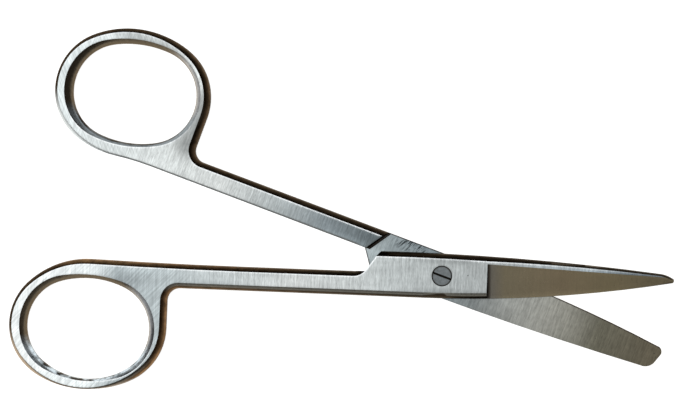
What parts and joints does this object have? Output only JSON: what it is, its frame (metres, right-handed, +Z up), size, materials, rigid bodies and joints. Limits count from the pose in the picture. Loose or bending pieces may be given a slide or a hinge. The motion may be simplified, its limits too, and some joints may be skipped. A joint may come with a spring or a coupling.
{
  "type": "nurses scissors",
  "caption": "Straight ring-handled nurses scissors with one pointed and one blunt blade, joined by a slotted pivot screw; shown open, and they open and close about the screw.",
  "frame": {"origin": "on the pivot screw's axis, in the plane of the underside that the scissors rest on", "axes": "+X from the screw along the pointed half towards its tip, +Y across towards that blade's spine and the blunt half's finger ring, +Z up along the screw towards its slotted head"},
  "size_m": [0.1395, 0.0763, 0.0042],
  "materials": {
    "blade_steel": "satin",
    "screw_steel": "satin"
  },
  "bodies": {
    "pointed_side": {"pointed_half": "blade_steel"},
    "blunt_side": {"blunt_half": "blade_steel", "pivot_screw": "screw_steel"}
  },
  "joints": [
    {"name": "blade_pivot", "type": "hinge", "parent": "pointed_side", "child": "blunt_side", "pos_m": [0, 0, 0], "axis": [0, 0, -1], "range_deg": [-16.2, 100]}
  ]
}
